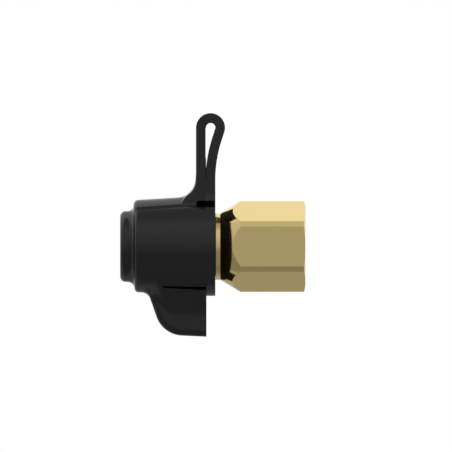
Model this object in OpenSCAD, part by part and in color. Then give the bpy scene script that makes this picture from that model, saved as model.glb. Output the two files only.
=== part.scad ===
// Pressure test coupling with its rubber dust cap on.
// A brass body carries a spring-loaded test valve. The cap hangs from a collar that turns
// on the neck, by a hairpin strap.
// Origin at the centre of the inlet mouth, +X out of the inlet, +Z towards the strap.

/* [Hexagon] */
// Width across the flats
hex_af = 24; // [22.5:0.5:27]
// Length of the hexagon along its corners
hex_len = 19.2; // [17:0.2:26]
// Width of the flat planed along each corner
corner_flat = 1.7; // [0.4:0.1:3]
// Angle of the shallow chamfer on the inlet end
chamfer_angle = 14; // [10:1:30]
// How far inside the flats that chamfer starts
chamfer_in = 0.1; // [0:0.05:0.5]
// Angle of the cone between hexagon and neck, from the axis
cone_angle = 31; // [25:1:40]

/* [Neck and nose] */
// Diameter of the neck
neck_d = 19.7; // [19:0.1:21]
// Length of the neck that shows
neck_len = 1.45; // [1:0.05:4]
// Diameter at the bottom of the collar groove
groove_d = 17.2; // [16.8:0.1:18]
// Diameter of the flange that keeps the collar on
flange_d = 19.7; // [18.6:0.1:20.4]
// Width of the flange
flange_w = 1.9; // [1.5:0.1:3]
// Chamfer on the flange
flange_chamfer = 0.6; // [0.3:0.1:0.9]
// Crest diameter of the thread on the nose
nose_d = 16; // [15.5:0.1:16.4]
// Length of the nose from the flange to its tip
nose_len = 20.9; // [18:0.1:22]
// Length of the thread on the nose
nose_thread_len = 14.5; // [10:0.5:16]
// Width of the run-out groove behind the thread
undercut_w = 2; // [1.5:0.1:3]
// Depth of the run-out groove
undercut_depth = 1; // [0.9:0.05:1.2]
// Chamfer on the tip of the nose
tip_chamfer = 1; // [0.6:0.1:1.4]

/* [Bores] */
// Bore of the inlet, at the crests of its thread
inlet_d = 14.38; // [14:0.02:14.6]
// Depth of the inlet
inlet_depth = 12.5; // [10:0.5:16]
// Depth of an inlet thread
thread_depth = 0.92; // [0.8:0.02:1]
// Width of the relief at the end of the inlet thread
relief_w = 1.5; // [1:0.1:2.5]
// Chamfer round the mouth of the inlet
mouth_chamfer = 1; // [0.9:0.1:1.4]
// Bore of the valve chamber
chamber_d = 10.6; // [10.2:0.1:11]
// Depth of the recess in the nose
recess_depth = 3; // [2.6:0.1:4]
// Diameter of the recess in the nose
recess_d = 9; // [7:0.1:10]
// Thickness of the wall that the valve closes on
seat_wall = 3.2; // [2.5:0.1:4]
// Diameter of the hole for the valve pin
pin_hole_d = 3.8; // [3.4:0.1:4.4]

/* [Valve] */
// How far the pin stays below the tip of the nose
pin_below = 0.6; // [0.3:0.1:0.8]
// Width of each flat on the pin, as a share of its radius left
pin_flat = 0.72; // [0.6:0.02:0.85]
// Diameter of the poppet
poppet_d = 8.6; // [8.2:0.1:9]
// Thickness of the poppet
poppet_t = 2.5; // [2:0.1:3.5]
// Outer diameter of the poppet's seal
seal_d = 7.6; // [7:0.1:8]
// Radial width of the seal
seal_w = 1.5; // [1.2:0.1:1.7]
// Thickness of the seal
seal_t = 1.4; // [1:0.1:1.8]
// How far the seal stands out of the poppet
seal_proud = 0.6; // [0.4:0.1:0.8]
// Diameter of the boss that guides the spring
boss_d = 4.6; // [3.6:0.1:5.2]
// Length of the boss
boss_len = 3.2; // [2:0.1:5]
// Wire diameter of the spring
wire_d = 0.8; // [0.5:0.05:0.9]
// Mean diameter of the spring's coil
coil_d = 6.6; // [6.2:0.1:7]
// Turns of the spring, with its two closed ends
coil_turns = 9; // [7:1:11]
// Length of the fitted spring
spring_len = 16.8; // [14:0.1:19]
// Thickness of the spring plate
plate_t = 1.2; // [0.8:0.1:2]
// Diameter of the plate's middle hole
plate_hole_d = 2.8; // [2:0.1:3.6]
// Diameter of the small holes round the plate
vent_d = 1.1; // [0.8:0.05:1.2]
// Number of small holes round the plate
vent_count = 8; // [5:1:10]
// Thickness of the snap ring
ring_t = 0.8; // [0.6:0.05:1.2]
// Radial width of the snap ring
ring_w = 1.3; // [1:0.1:1.5]
// Depth of the snap ring's groove
ring_groove_depth = 0.8; // [0.5:0.05:1]
// Diameter of each lug of the snap ring
lug_d = 2; // [1.6:0.1:2.2]
// Diameter of the hole in each lug
lug_hole_d = 0.8; // [0.6:0.05:1]
// Gap between the two lugs
lug_gap = 0.5; // [0.3:0.1:1]

/* [Dust cap] */
// Outer diameter of the cap at its rim
cap_rim_d = 29.4; // [28.8:0.1:32]
// Draft of the cap's side
cap_draft = 3.4; // [1:0.1:5]
// Length of the cap from rim to shoulder
cap_len = 21; // [20:0.05:22]
// Round on the cap's shoulder
shoulder_round = 1.2; // [0.6:0.1:1.6]
// Wall thickness of the cap
cap_wall = 2.5; // [2:0.1:3]
// Round inside the bell's end
bell_round = 1.4; // [0.8:0.1:2]
// Diameter of the end button
button_d = 20.9; // [20:0.1:22]
// Height of the end button above the shoulder
button_h = 4.25; // [3.9:0.05:5]
// Round on the button's edge
button_round = 1.6; // [0.8:0.1:2]
// Hollow round where the button meets the shoulder
button_fillet = 1.85; // [1:0.05:2]
// Room between the tip of the nose and the cap's end
tip_room = 0.5; // [0.3:0.1:0.8]
// Width of a sealing bead inside the button
bead_w = 1; // [0.6:0.1:1.4]
// How far a sealing bead stands in
bead_h = 0.25; // [0.15:0.05:0.4]

/* [Strap] */
// Thickness of the strap
strap_t = 2.78; // [2.2:0.02:3.4]
// Width of the strap
strap_w = 15; // [11:0.5:17]
// Height of the loop's centre above the axis
loop_z = 35; // [32:0.5:42]
// Inner radius of the loop
loop_r = 1.45; // [1:0.05:2.5]
// Height at which the two legs meet
leg_meet_z = 19.6; // [18.5:0.1:22]
// Lean of the collar's leg where it joins the loop
leg_lean = 18; // [16:0.5:20]
// Hollow round between strap and cap
strap_fillet = 5.9; // [4:0.1:6.5]
// Distance from the rim to the foot of the strap's root, on the cap's top line
root_reach = 6.3; // [5:0.1:7]
// Slope of that foot from the axis
foot_slope = 62; // [50:1:80]
// Height of the relief notch beside the strap's root
notch_h = 1.75; // [1:0.05:2]
// Depth of the relief notch into the strap's side
notch_depth = 2.6; // [1.5:0.1:4]
// How far the relief notch reaches into the cap's root
notch_reach = 1.9; // [1:0.1:2.4]

/* [Collar] */
// How far the collar's edge lies inside the cap's rim
collar_step = 0.1; // [0:0.05:0.6]
// Hollow round between collar and strap
collar_fillet = 3.2; // [2:0.1:4]
// How far that round stands out past the strap's side
collar_flare = 1; // [0.5:0.1:1.4]

/* [Thumb tab] */
// Thickness of the tab
tab_t = 10.2; // [8:0.2:13]
// Drop of the tab below the axis at the rim
tab_drop = 26.6; // [24:0.1:30]
// Radius of the tab's round corner
tab_corner_r = 8.3; // [6:0.1:9]
// Distance from the rim to the centre of the round corner
tab_corner_x = 6.7; // [5:0.1:8]
// Lean of the tab's back edge from the radial
tab_lean = 19.3; // [12:0.1:26]
// Slope of the tab's bottom edge
tab_slope = 2.7; // [0:0.1:5]
// Round along the tab's bottom edges
tab_round = 2.3; // [1:0.1:3]
// Hollow round between the tab's sides and the cap
tab_fillet = 7; // [3:0.1:8]
// Hollow round between the tab's back edge and the cap
tab_back_fillet = 1.6; // [1.3:0.3:2.8]
// Width of the slit along the tab's root, at the rim
slit_h = 0.9; // [0.4:0.05:1.2]
// Length of the slit along the tab's root
slit_len = 12.6; // [8:0.1:15]
// Width of the slit at its blunt end
slit_tip_h = 0.4; // [0.2:0.05:0.6]
// Depth of the slit into the tab's side
slit_depth = 1.2; // [0.6:0.1:2]
// How far the slit lies below the tab's root, at the rim
slit_dip = 0.15; // [0:0.05:0.4]
// Slope of the slit from the axis
slit_slope = 1.9; // [0:0.1:4]

/* [Clearances] */
// Radial room between collar and groove
collar_fit = 0.05; // [0.02:0.01:0.1]
// End room on each side of the collar
collar_end_fit = 0.05; // [0.03:0.01:0.2]
// Room between the cap's rim and the collar
rim_fit = 0.05; // [0.03:0.01:0.2]
// Radial room between the valve pin and its hole
pin_fit = 0.05; // [0.02:0.01:0.1]
// Radial room between cap beads and nose
bead_fit = 0.05; // [0.02:0.01:0.1]
// Room between the seal and its seat
seal_fit = 0.02; // [0.01:0.01:0.1]
// Room round the spring plate and the snap ring
plate_fit = 0.05; // [0.02:0.01:0.1]
// Radial room between the plate's hub and the spring
hub_fit = 0.1; // [0.05:0.01:0.2]
// Gap between the spring's closed turns and at its ends
coil_fit = 0.05; // [0.02:0.01:0.1]

/* [Hidden] */
$fn = 96;
// Overshoot of a cut past the face that it opens
over = 1;

// Hexagon: distance to the corners and to the planed corners
hex_corner_r = hex_af / 2 / cos(30);
corner_r = hex_corner_r - corner_flat / 2 / tan(60);

// Places along the axis, from the inlet mouth to the tip of the nose
x_neck = -hex_len - (corner_r - neck_d / 2) / tan(cone_angle);
x_groove = x_neck - neck_len;
groove_w = strap_t + 2 * collar_end_fit;
x_flange = x_groove - groove_w;
x_shank = x_flange - flange_w;
x_tip = x_shank - nose_len;
x_thread = x_tip + nose_thread_len;
x_recess = x_tip + recess_depth;
x_seat = x_recess + seat_wall;

// Places of the valve's pieces
x_pin = x_tip + pin_below;
x_seal = x_seat + seal_fit;
x_poppet = x_seal + seal_proud;
x_poppet_back = x_poppet + poppet_t;
x_plate = x_poppet_back + spring_len;
x_ring = x_plate + plate_t;
ring_groove_r = chamber_d / 2 + ring_groove_depth;

// Pitch of the spring's closed turns and of its open ones
closed_pitch = wire_d + coil_fit;
open_pitch = (spring_len - 3 * closed_pitch) / (coil_turns - 2);

// Places of the moulding
x_collar = x_groove - collar_end_fit;
x_collar_left = x_collar - strap_t;
x_rim = x_collar_left - rim_fit;
x_shoulder = x_rim - cap_len;
x_button = x_shoulder - button_h;
x_cap_end = x_tip - tip_room;
x_leg_left = x_rim - strap_t;
x_loop = x_leg_left + strap_t + loop_r;
loop_outer_r = loop_r + strap_t;
collar_d = cap_rim_d - 2 * collar_step;
draft = tan(cap_draft);

// Where the tab's flares run out on the cap: half width, and height at the rim
root_y = cap_rim_d / 2 * (tab_t / 2 + tab_fillet) / (cap_rim_d / 2 + tab_fillet);
root_z = sqrt(pow(cap_rim_d / 2, 2) - pow(root_y, 2));

// Height at which the strap's sides run into the cap at the rim
strap_side_z = sqrt(pow(cap_rim_d / 2, 2) - pow(strap_w / 2, 2));

// Height inside the cap's wall at which the tab's solids start
tab_start_z = -cap_rim_d / 3;

// Nose, and the socket in the button that it reaches into
nose_r = nose_d / 2;
bore_r = nose_r + bead_fit + bead_h;

// Outer radius of the cap at a place along the axis
function cap_r(x) = cap_rim_d / 2 - (x_rim - x) * draft;

// Turns a flat outline, drawn as radius and place along X, about the X axis
module turned() {
    rotate([0, 90, 0])
        rotate_extrude()
            children();
}

// Pulls an outline, drawn in X and Z, to a width across Y
module across(width) {
    translate([0, width / 2, 0])
        rotate([90, 0, 0])
            linear_extrude(width)
                children();
}

// Pulls an outline, drawn in Y and Z, along X from one place to another
module along(x_from, x_to) {
    translate([x_from, 0, 0])
        rotate([90, 0, 90])
            linear_extrude(x_to - x_from)
                children();
}

// Plain disc or ring along X
module disc(x_from, x_to, diameter, hole = 0) {
    turned()
        translate([hole / 2, x_from])
            square([(diameter - hole) / 2, x_to - x_from]);
}

// Hexagon bar with a flat planed along each corner
module hex_bar() {
    intersection_for (side = [[0, hex_corner_r], [30, corner_r / cos(30)]])
        translate([x_neck, 0, 0])
            rotate([0, 90, 0])
                rotate([0, 0, side[0]])
                    cylinder(h = -x_neck, r = side[1], $fn = 6);
}

// Outline that turns the chamfer and the cone onto the bar
module hex_outline() {
    chamfer_r = hex_af / 2 - chamfer_in;
    wide_r = hex_corner_r + over;
    polygon([
        [0, 0],
        [chamfer_r, 0],
        [wide_r, -(wide_r - chamfer_r) * tan(chamfer_angle)],
        [wide_r, -hex_len + (wide_r - corner_r) / tan(cone_angle)],
        [neck_d / 2, x_neck],
        [0, x_neck]
    ]);
}

// Outline of the neck, the collar groove, the flange and the nose
module shank_outline() {
    root_r = nose_r - undercut_depth;
    polygon([
        [0, x_neck + over],
        [neck_d / 2 - over * tan(cone_angle), x_neck + over],
        [neck_d / 2, x_neck],
        [neck_d / 2, x_groove],
        [groove_d / 2, x_groove],
        [groove_d / 2, x_flange],
        [flange_d / 2, x_flange],
        [flange_d / 2, x_shank + flange_chamfer],
        [flange_d / 2 - flange_chamfer, x_shank],
        [nose_r, x_shank],
        [nose_r, x_thread + undercut_w + undercut_depth],
        [root_r, x_thread + undercut_w],
        [root_r, x_thread],
        [nose_r, x_thread - undercut_depth],
        [nose_r, x_tip + tip_chamfer],
        [nose_r - tip_chamfer, x_tip],
        [0, x_tip]
    ]);
}

// Outline of everything bored out of the body
module bore_outline() {
    mouth_r = inlet_d / 2 + mouth_chamfer;
    relief_r = inlet_d / 2 + thread_depth;
    polygon([
        [0, over],
        [mouth_r + over, over],
        [mouth_r, 0],
        [inlet_d / 2, -mouth_chamfer],
        [inlet_d / 2, relief_w - inlet_depth],
        [relief_r, relief_w - inlet_depth],
        [relief_r, -inlet_depth],
        [chamber_d / 2, -inlet_depth],
        [chamber_d / 2, x_ring + ring_t + plate_fit],
        [ring_groove_r, x_ring + ring_t + plate_fit],
        [ring_groove_r, x_ring],
        [chamber_d / 2, x_ring],
        [chamber_d / 2, x_seat],
        [pin_hole_d / 2, x_seat],
        [pin_hole_d / 2, x_recess],
        [recess_d / 2, x_recess],
        [recess_d / 2, x_tip - over],
        [0, x_tip - over]
    ]);
}

module coupling_body() {
    color("#c8b478")
        difference() {
            union() {
                intersection() {
                    hex_bar();
                    turned()
                        hex_outline();
                }
                turned()
                    shank_outline();
            }
            turned()
                bore_outline();
        }
}

// Pin with three flats that let the air past, poppet with a groove for its seal, and boss
module valve_stem() {
    pin_r = pin_hole_d / 2 - pin_fit;
    groove_in_d = seal_d - 2 * seal_w;
    color("#b9a873")
        difference() {
            union() {
                intersection() {
                    disc(x_pin, x_poppet_back, 2 * pin_r);
                    translate([x_pin, 0, 0])
                        rotate([0, 90, 0])
                            cylinder(h = x_poppet_back - x_pin, r = 2 * pin_r * pin_flat, $fn = 3);
                }
                disc(x_poppet, x_poppet_back, poppet_d);
                disc(x_poppet, x_poppet_back + boss_len, boss_d);
            }
            disc(x_poppet - over, x_seal + seal_t, seal_d, groove_in_d);
        }
}

module stem_seal() {
    color("#1c1c1c")
        disc(x_seal, x_seal + seal_t, seal_d, seal_d - 2 * seal_w);
}

// Place along X of the spring's wire at a turn: closed at both ends, open between them
function coil_x(turn) =
    min(turn, 1) * closed_pitch
    + max(0, min(turn - 1, coil_turns - 2)) * open_pitch
    + max(0, turn - coil_turns + 1) * closed_pitch;

// Coil spring swept as one closed tube
module valve_spring() {
    steps = 18;
    sides = 8;
    rings = coil_turns * steps;
    wire_r = wire_d / 2;
    x_start = x_poppet_back + closed_pitch / 2;
    points = [for (i = [0:rings], j = [0:sides - 1])
        let (
            turn = i / steps,
            radius = coil_d / 2 + wire_r * cos(360 * j / sides),
            x = x_start + coil_x(turn) + wire_r * sin(360 * j / sides)
        )
        [x, radius * cos(360 * turn), radius * sin(360 * turn)]];
    walls = [for (i = [0:rings - 1], j = [0:sides - 1])
        let (
            here = i * sides,
            next = (j + 1) % sides
        )
        each [
            [here + j, here + next, here + sides + next],
            [here + j, here + sides + next, here + sides + j]
        ]];
    start_cap = [for (j = [0:sides - 1]) sides - 1 - j];
    end_cap = [for (j = [0:sides - 1]) rings * sides + j];
    color("#9a9da0")
        polyhedron(points, concat(walls, [start_cap, end_cap]), convexity = 10);
}

// Perforated disc with a low hub that centres the spring
module spring_plate() {
    plate_d = chamber_d - 2 * plate_fit;
    hub_d = coil_d - wire_d - 2 * hub_fit;
    vent_ring_r = (coil_d + wire_d + plate_d) / 4;
    color("#b9a873")
        difference() {
            union() {
                disc(x_plate, x_ring, plate_d);
                disc(x_plate - wire_d, x_ring, hub_d);
            }
            disc(x_plate - wire_d - over, x_ring + over, plate_hole_d);
            for (i = [0:vent_count - 1])
                rotate([360 * i / vent_count, 0, 0])
                    translate([0, 0, vent_ring_r])
                        disc(x_plate - over, x_ring + over, vent_d);
        }
}

// Internal circlip with two drilled lugs beside its gap
module snap_ring() {
    outer_r = ring_groove_r - plate_fit;
    inner_r = outer_r - ring_w;
    lug_r = inner_r - lug_hole_d / 2;
    lug_angle = asin((lug_d + lug_gap) / 2 / lug_r);
    color("#7d8084")
        translate([x_ring, 0, 0])
            rotate([90, 0, 90])
                linear_extrude(ring_t)
                    difference() {
                        union() {
                            difference() {
                                circle(outer_r);
                                circle(inner_r);
                                polygon([
                                    [0, 0],
                                    2 * outer_r * [sin(lug_angle), -cos(lug_angle)],
                                    2 * outer_r * [-sin(lug_angle), -cos(lug_angle)]
                                ]);
                            }
                            for (side = [-1, 1])
                                translate(lug_r * [side * sin(lug_angle), -cos(lug_angle)])
                                    circle(lug_d / 2);
                        }
                        for (side = [-1, 1])
                            translate(lug_r * [side * sin(lug_angle), -cos(lug_angle)])
                                circle(lug_hole_d / 2);
                    }
}

// Rounded outer corner: a square outline with its far corner turned to an arc
module corner_round(radius) {
    intersection() {
        square(radius);
        circle(radius);
    }
}

// Hollow corner: what a circle leaves in the corner of a square
module corner_hollow(radius) {
    difference() {
        translate([-over, -over])
            square(radius + over);
        translate([radius, radius])
            circle(radius);
    }
}

// Solid outline of the bell and its button, without the hollow
module cap_outline() {
    shoulder_r = cap_r(x_shoulder + shoulder_round);
    button_r = button_d / 2;
    // Side and shoulder
    polygon([
        [0, x_rim],
        [cap_rim_d / 2, x_rim],
        [shoulder_r, x_shoulder + shoulder_round],
        [shoulder_r - shoulder_round, x_shoulder + shoulder_round],
        [shoulder_r - shoulder_round, x_shoulder],
        [0, x_shoulder]
    ]);
    translate([shoulder_r - shoulder_round, x_shoulder + shoulder_round])
        mirror([0, 1])
            corner_round(shoulder_round);
    // Button
    translate([0, x_button + button_round])
        square([button_r, button_h - button_round + over]);
    translate([0, x_button])
        square([button_r - button_round, button_round + over]);
    translate([button_r - button_round, x_button + button_round])
        mirror([0, 1])
            corner_round(button_round);
    translate([button_r, x_shoulder])
        mirror([0, 1])
            corner_hollow(button_fillet);
}

// Hollow of the bell and the socket in the button, with its two sealing beads
module cap_hollow() {
    bell_end = x_shoulder + cap_wall;
    end_r = cap_r(bell_end) - cap_wall;
    difference() {
        union() {
            polygon([
                [0, x_rim + over],
                [cap_rim_d / 2 - cap_wall + over * draft, x_rim + over],
                [end_r + bell_round * draft, bell_end + bell_round],
                [end_r - bell_round, bell_end + bell_round],
                [end_r - bell_round, bell_end],
                [0, bell_end]
            ]);
            translate([end_r - bell_round, bell_end + bell_round])
                mirror([0, 1])
                    corner_round(bell_round);
            translate([0, x_cap_end])
                square([bore_r, bell_end - x_cap_end + over]);
        }
        for (x = [x_tip + tip_chamfer + bead_w, bell_end - bead_w])
            translate([bore_r - bead_h, x - bead_w / 2])
                square([bead_h + over, bead_w]);
    }
}

// Place along the axis of the root's slanted foot, at a height
function foot_x(z) =
    x_rim - root_reach + (z - cap_r(x_rim - root_reach)) / tan(foot_slope);

// Side view of the strap's root: a slanted foot on the cap, then a hollow round up to the leg
module strap_root_side() {
    low = strap_side_z - over;
    x_round = x_leg_left - strap_fillet;
    difference() {
        polygon([
            [foot_x(low), low],
            [foot_x(leg_meet_z), leg_meet_z],
            [x_rim, leg_meet_z],
            [x_rim, low]
        ]);
        translate([x_round, cap_r(x_round) + strap_fillet])
            circle(strap_fillet);
    }
}

// Relief notch on both sides of the strap's root, from one place to another along X
module side_notches(x_from, x_to) {
    depth_y = strap_w / 2 - notch_depth;
    notch_z = sqrt(pow(collar_d / 2, 2) - pow(strap_w / 2, 2)) - notch_h / 2;
    for (side = [0, 1])
        mirror([0, side, 0]) {
            translate([x_from, depth_y, notch_z])
                cube([x_to - x_from, notch_depth + over, notch_h]);
            translate([x_from, depth_y, notch_z + notch_h / 2])
                rotate([-90, 0, 0])
                    cylinder(h = notch_depth + over, d = notch_h);
        }
}

// Side view of the thumb tab
module tab_side() {
    centre = [x_rim - tab_corner_x, tab_corner_r - tab_drop + tab_corner_x * tan(tab_slope)];
    back = [-cos(tab_lean), -sin(tab_lean)];
    bottom = [-sin(tab_slope), -cos(tab_slope)];
    up = [-sin(tab_lean), cos(tab_lean)];
    back_foot = centre + tab_corner_r * back;
    back_top = back_foot + up * (tab_start_z - back_foot[1]) / up[1];
    polygon([
        [x_rim, tab_start_z],
        [x_rim, -tab_drop],
        centre + tab_corner_r * bottom,
        centre,
        back_foot,
        back_top
    ]);
    intersection() {
        translate(centre)
            circle(tab_corner_r);
        polygon([
            centre,
            centre + 2 * tab_corner_r * bottom,
            centre + 2 * tab_corner_r * (bottom + back),
            centre + 2 * tab_corner_r * back
        ]);
    }
}

// End view of the thumb tab, with rounded bottom edges
module tab_end() {
    half = tab_t / 2;
    translate([-half, -tab_drop + tab_round])
        square([tab_t, tab_drop - tab_round + tab_start_z]);
    translate([-half + tab_round, -tab_drop])
        square([tab_t - 2 * tab_round, tab_drop + tab_start_z]);
    for (side = [0, 1])
        mirror([side, 0])
            translate([half - tab_round, -tab_drop + tab_round])
                mirror([0, 1])
                    corner_round(tab_round);
}

// Hollow rounds that flare the tab's sides out to the cap, along its drafted side
module tab_flares() {
    centre_y = tab_t / 2 + tab_fillet;
    centre = [centre_y, -sqrt(pow(cap_rim_d / 2 + tab_fillet, 2) - pow(centre_y, 2))];
    translate([x_rim, 0, 0])
        rotate([0, atan(draft * cap_rim_d / 2 / root_z), 0])
            translate([-x_rim, 0, 0])
                along(x_shoulder, x_rim + over)
                    for (side = [0, 1])
                        mirror([side, 0])
                            difference() {
                                polygon([
                                    [0, centre[1]],
                                    [centre[0] - tab_fillet, centre[1]],
                                    [root_y, -root_z],
                                    [0, tab_start_z]
                                ]);
                                translate(centre)
                                    circle(tab_fillet);
                            }
}

// Hollow round between the tab's back edge and the cap
module tab_back_outline() {
    x_foot = x_rim - tab_corner_x - tab_corner_r / cos(tab_lean)
        - (tab_drop - tab_corner_r - cap_rim_d / 2) * tan(tab_lean) - tab_back_fillet;
    foot_r = cap_r(x_foot);
    difference() {
        polygon([
            [foot_r - over, x_foot],
            [foot_r, x_foot],
            [foot_r + tab_back_fillet, x_foot],
            [foot_r + tab_back_fillet / 2, x_foot + 2 * tab_back_fillet],
            [foot_r - over, x_foot + 2 * tab_back_fillet]
        ]);
        translate([foot_r + tab_back_fillet, x_foot])
            circle(tab_back_fillet);
    }
}

// Thin wedge slit along each side of the tab's root
module tab_slits() {
    end_z = -root_z - slit_dip;
    tip_z = end_z + slit_len * tan(slit_slope);
    for (side = [0, 1])
        mirror([0, side, 0])
            translate([0, root_y - slit_depth, 0])
                rotate([90, 0, 0])
                    mirror([0, 0, 1])
                        linear_extrude(slit_depth + over)
                            polygon([
                                [x_rim - slit_len, tip_z - slit_tip_h / 2],
                                [x_rim - slit_len, tip_z + slit_tip_h / 2],
                                [x_rim + over, end_z + slit_h / 2],
                                [x_rim + over, end_z - slit_h / 2]
                            ]);
}

module dust_cap() {
    color("#26282a")
        difference() {
            union() {
                turned()
                    cap_outline();
                across(strap_w)
                    strap_root_side();
                // Thumb tab
                intersection() {
                    across(2 * root_y)
                        tab_side();
                    union() {
                        along(x_shoulder, x_rim)
                            tab_end();
                        tab_flares();
                    }
                }
                intersection() {
                    turned()
                        tab_back_outline();
                    translate([x_shoulder, -tab_t / 2, -tab_drop])
                        cube([cap_len, tab_t, tab_drop]);
                }
            }
            turned()
                cap_hollow();
            side_notches(x_leg_left + strap_t - notch_reach, x_rim + over);
            tab_slits();
        }
}

// Part of the hairpin's loop, from one angle to another above or beside its centre
module loop_part(angle_from, angle_to) {
    middle = (angle_from + angle_to) / 2;
    reach = 3 * loop_outer_r;
    translate([x_loop, loop_z])
        difference() {
            intersection() {
                circle(loop_outer_r);
                polygon([
                    [0, 0],
                    reach * [cos(angle_from), sin(angle_from)],
                    reach * [cos(middle), sin(middle)],
                    reach * [cos(angle_to), sin(angle_to)]
                ]);
            }
            circle(loop_r);
        }
}

// Straight leg on the cap's side and its half of the loop
module strap_cap_leg() {
    color("#26282a")
        across(strap_w)
            union() {
                translate([x_leg_left, leg_meet_z])
                    square([strap_t, loop_z - leg_meet_z]);
                loop_part(90, 180);
            }
}

// Leg on the collar's side: it bows outward and then leans straight to the loop
module strap_collar_leg() {
    top = [x_loop + loop_outer_r * cos(leg_lean), loop_z - loop_outer_r * sin(leg_lean)];
    kink_z = top[1] - (top[0] - x_collar) / tan(leg_lean);
    bow_r = (kink_z - leg_meet_z) / tan(leg_lean / 2);
    bow_centre = [x_collar + bow_r, leg_meet_z];
    bow_top = bow_centre + bow_r * [-cos(leg_lean), sin(leg_lean)];
    inset = strap_t / 4;
    color("#26282a")
        across(strap_w)
            union() {
                intersection() {
                    translate(bow_centre)
                        difference() {
                            circle(bow_r + strap_t);
                            circle(bow_r);
                        }
                    polygon([
                        bow_centre,
                        bow_centre + 2 * bow_r * [-cos(leg_lean), sin(leg_lean)],
                        bow_centre + 2 * bow_r * [-1, 0]
                    ]);
                }
                translate(bow_top)
                    rotate(-leg_lean)
                        translate([-strap_t, 0])
                            square([strap_t, norm(top - bow_top)]);
                // Joins the straight stretch to the bow and to the loop, inside both
                for (seam = [bow_top, top])
                    translate(seam)
                        rotate(-leg_lean)
                            translate([inset - strap_t, -inset])
                                square([strap_t - 2 * inset, 2 * inset]);
                loop_part(-leg_lean, 90);
            }
}

// Ring in the neck's groove with the root of the collar's leg
module neck_collar() {
    half = strap_w / 2;
    foot = sqrt(pow(collar_d / 2, 2) - pow(half, 2));
    color("#26282a")
        difference() {
            union() {
                disc(x_collar_left, x_collar, collar_d);
                along(x_collar_left, x_collar)
                    translate([-half, 0])
                        square([strap_w, leg_meet_z]);
                along(x_collar_left, x_collar)
                    for (side = [0, 1])
                        mirror([side, 0])
                            difference() {
                                translate([half - over, foot - over])
                                    square([over + collar_flare, over + collar_fillet]);
                                translate([half + collar_fillet, foot + collar_fillet])
                                    circle(collar_fillet);
                            }
            }
            disc(x_collar_left - over, x_collar + over, groove_d + 2 * collar_fit);
            side_notches(x_collar_left - over, x_collar + over);
        }
}

coupling_body();
valve_stem();
stem_seal();
valve_spring();
spring_plate();
snap_ring();
dust_cap();
strap_cap_leg();
strap_collar_leg();
neck_collar();
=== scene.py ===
"""Looks of the pressure test coupling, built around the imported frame.

The brass body, its threads and its spring are meshes made ring by ring. The rubber moulding is
made from distance functions, which give its rounds and hollows. Lengths are in millimetres until
a mesh is made. X runs out of the inlet, Z towards the strap, and the camera looks along +Y.
"""

import math

import bmesh
import bpy
import numpy as np
import openvdb
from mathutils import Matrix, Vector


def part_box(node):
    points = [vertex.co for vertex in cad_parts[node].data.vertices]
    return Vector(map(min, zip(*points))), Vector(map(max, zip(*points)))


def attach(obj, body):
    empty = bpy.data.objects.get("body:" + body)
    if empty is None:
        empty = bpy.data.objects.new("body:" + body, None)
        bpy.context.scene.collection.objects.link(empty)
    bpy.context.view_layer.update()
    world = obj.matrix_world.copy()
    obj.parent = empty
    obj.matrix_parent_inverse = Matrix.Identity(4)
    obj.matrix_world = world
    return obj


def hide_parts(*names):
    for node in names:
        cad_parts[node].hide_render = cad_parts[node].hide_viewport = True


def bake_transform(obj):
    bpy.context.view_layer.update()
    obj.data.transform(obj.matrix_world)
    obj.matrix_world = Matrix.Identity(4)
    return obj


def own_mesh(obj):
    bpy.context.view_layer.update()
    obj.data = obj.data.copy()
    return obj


MM = 0.001
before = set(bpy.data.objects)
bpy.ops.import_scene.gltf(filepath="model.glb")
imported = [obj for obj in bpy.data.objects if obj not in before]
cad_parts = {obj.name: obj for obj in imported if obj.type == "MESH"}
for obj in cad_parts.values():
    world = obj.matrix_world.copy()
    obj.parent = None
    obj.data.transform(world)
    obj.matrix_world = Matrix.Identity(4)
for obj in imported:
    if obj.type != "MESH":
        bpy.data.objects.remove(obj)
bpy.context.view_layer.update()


def span(node):
    """Lowest and highest corner of a CAD node, in millimetres."""
    low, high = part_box(node)
    return np.array(low) / MM, np.array(high) / MM


# What the photo shows: its width and its middle
VIEW_WIDTH = 133.27
VIEW_X = -23.41
VIEW_Z = 6.04
VIEW_AWAY = 400
FLOOR_GAP = 1

# Sizes of the brass body
body_low, body_high = span("coupling_body")
X_TIP = body_low[0]
HEX_HALF = body_high[1]
CORNER_R = body_high[2]
CORNER_FLAT = 1.7
CHAMFER_R = HEX_HALF - 0.1
CHAMFER_ANGLE = math.radians(14)
HEX_LEN = 19.2
CONE_ANGLE = math.radians(31)
NECK_R = 9.85
GROOVE_R = 8.6
GROOVE_PLAY = 0.05
FLANGE_W = 1.9
FLANGE_CHAMFER = 0.6
NOSE_R = 8.0
NOSE_THREAD_LEN = 14.5
UNDERCUT_W = 2.0
UNDERCUT_DEPTH = 1.0
TIP_CHAMFER = 1.0
INLET_R = 7.19
INLET_DEPTH = 12.5
RELIEF_W = 1.5
MOUTH_CHAMFER = 1.0
CHAMBER_R = 5.3
RECESS_R = 4.5
RECESS_DEPTH = 3.0
PIN_HOLE_R = 1.9
SEAT_WALL = 3.2
THREAD_DEPTH = 0.92
THREAD_PITCH = 1.5
CREST_HALF = 1 / 16
FLANK = 0.354
RING_GROOVE_DEPTH = 0.8
EDGE_BREAK = 0.13

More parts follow.
